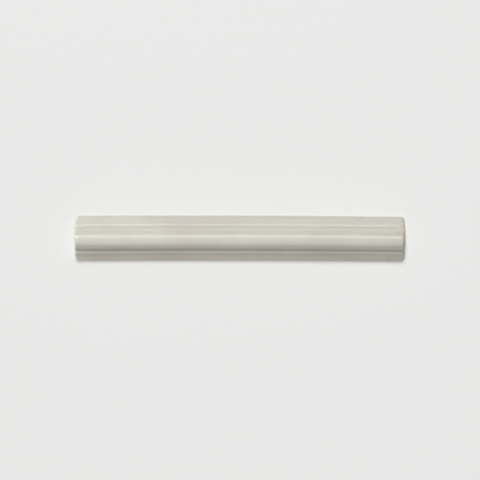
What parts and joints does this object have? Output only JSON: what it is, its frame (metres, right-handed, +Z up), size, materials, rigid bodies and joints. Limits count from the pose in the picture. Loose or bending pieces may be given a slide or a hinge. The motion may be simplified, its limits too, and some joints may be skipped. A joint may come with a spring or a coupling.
{
  "type": "astragal moulding",
  "caption": "Glazed ceramic astragal wall trim: a half-round bead between coves that end in narrow lips, and hollow splays that fall to thin edges, with rounded corners.",
  "frame": {"origin": "centre of the flat back face", "axes": "+X along the length, towards the right end as seen from the front; +Y out of the back, into the wall, so the face looks along -Y; +Z up"},
  "size_m": [0.2, 0.0171, 0.027],
  "materials": {
    "glazed_ceramic": "glossy, slightly uneven pale warm grey glaze on the face, edges and ends; bare biscuit on the back"
  },
  "bodies": {
    "root": {"astragal_moulding": "glazed_ceramic"}
  },
  "joints": []
}
